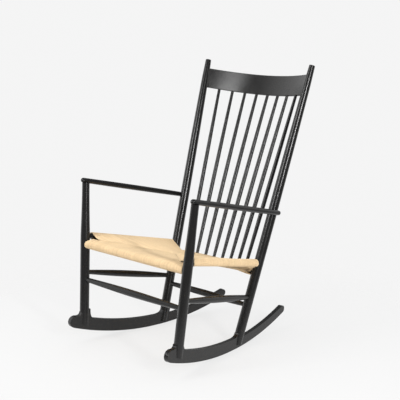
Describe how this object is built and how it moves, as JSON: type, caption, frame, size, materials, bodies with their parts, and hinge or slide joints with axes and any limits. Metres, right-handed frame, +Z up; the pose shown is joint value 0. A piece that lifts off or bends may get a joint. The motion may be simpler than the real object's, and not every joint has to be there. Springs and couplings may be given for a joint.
{
  "type": "rocking chair",
  "caption": "Wooden rocking chair with a high fanned spindle back, bowed crest rail, round arms, forked legs on curved rockers and a woven paper cord seat.",
  "frame": {"origin": "middle of the chair's footprint box, on the floor under the rockers' treads", "axes": "+Z up, -Y the way the sitter faces, +X towards the sitter's left hand"},
  "size_m": [0.6184, 0.8396, 1.0681],
  "materials": {
    "black_lacquer": "satin",
    "paper_cord": "matte"
  },
  "bodies": {
    "root": {"arm_dowel_left": "black_lacquer", "arm_dowel_right": "black_lacquer", "arm_left": "black_lacquer", "arm_right": "black_lacquer", "crest_rail": "black_lacquer", "front_leg_left": "black_lacquer", "front_leg_right": "black_lacquer", "front_stretcher": "black_lacquer", "rear_post_left": "black_lacquer", "rear_post_right": "black_lacquer", "rear_stretcher": "black_lacquer", "rocker_left": "black_lacquer", "rocker_right": "black_lacquer", "seat_front_rail": "black_lacquer", "seat_rear_rail": "black_lacquer", "seat_side_rail_left": "black_lacquer", "seat_side_rail_right": "black_lacquer", "side_stretcher_left": "black_lacquer", "side_stretcher_right": "black_lacquer", "spindle_1": "black_lacquer", "spindle_2": "black_lacquer", "spindle_3": "black_lacquer", "spindle_4": "black_lacquer", "spindle_5": "black_lacquer", "spindle_6": "black_lacquer", "spindle_7": "black_lacquer", "spindle_8": "black_lacquer", "woven_seat": "paper_cord"}
  },
  "joints": []
}
